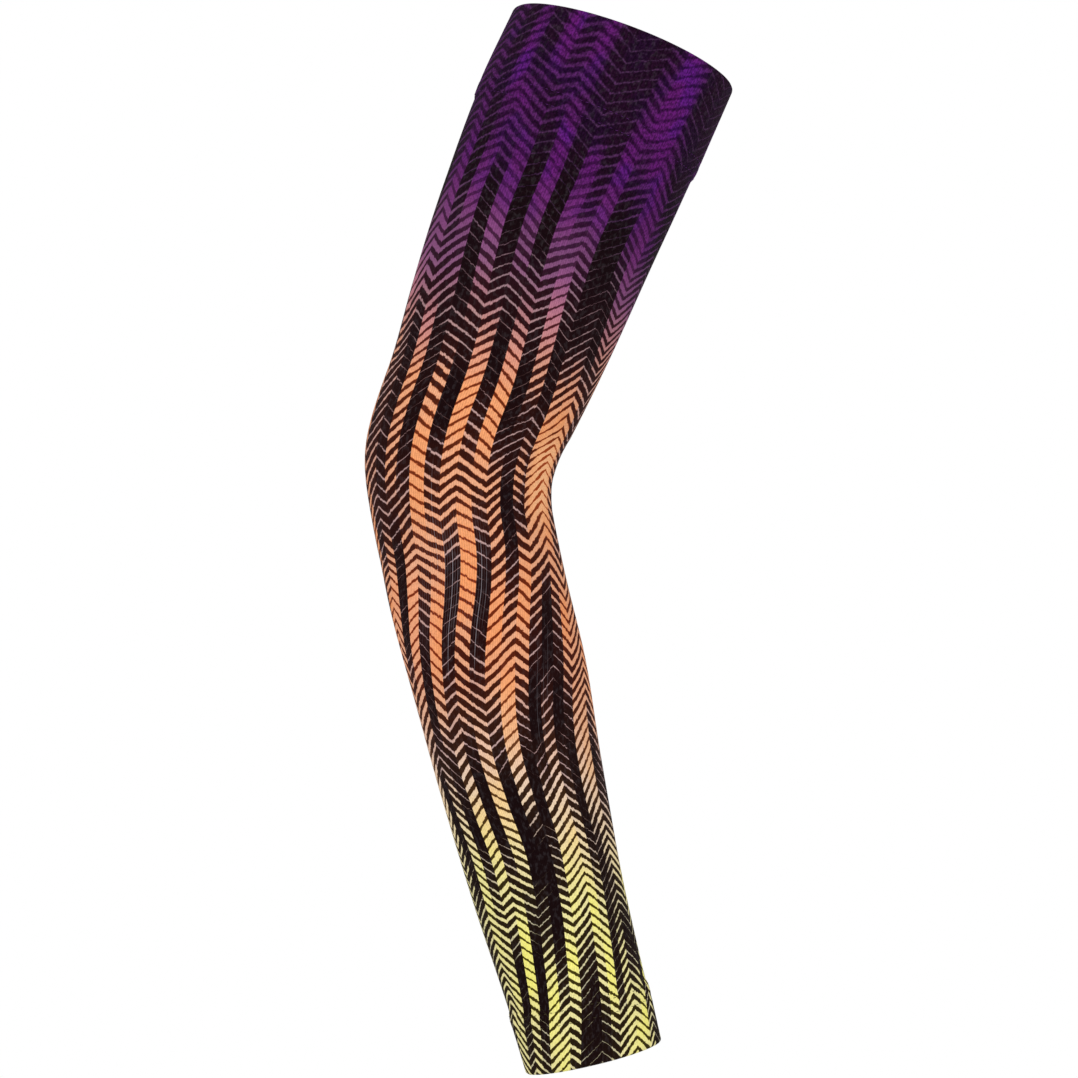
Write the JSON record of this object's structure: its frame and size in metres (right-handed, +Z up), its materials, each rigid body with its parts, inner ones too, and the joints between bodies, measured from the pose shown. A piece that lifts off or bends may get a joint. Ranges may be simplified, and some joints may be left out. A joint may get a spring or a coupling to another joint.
{
  "type": "arm sleeve",
  "caption": "Bent compression arm sleeve: a tapered hollow tube of thin printed knit, open at both ends, with a turned hem at the upper arm and at the wrist.",
  "frame": {"origin": "centre of the upper opening, on the axis of the arm, where the sleeve grips the upper arm", "axes": "+Z up, +X towards the crook of the elbow, -Y the near side that the picture shows; the sleeve hangs down from the origin"},
  "size_m": [0.1486, 0.0856, 0.4307],
  "materials": {
    "upper_hem_knit": "matte stretch knit, dark violet herringbone print",
    "sleeve_knit": "matte stretch knit, black herringbone print over violet, orange and yellow",
    "wrist_hem_knit": "matte stretch knit, yellow herringbone print"
  },
  "bodies": {
    "root": {"upper_hem": "upper_hem_knit", "sleeve_tube": "sleeve_knit", "wrist_hem": "wrist_hem_knit"}
  },
  "joints": []
}
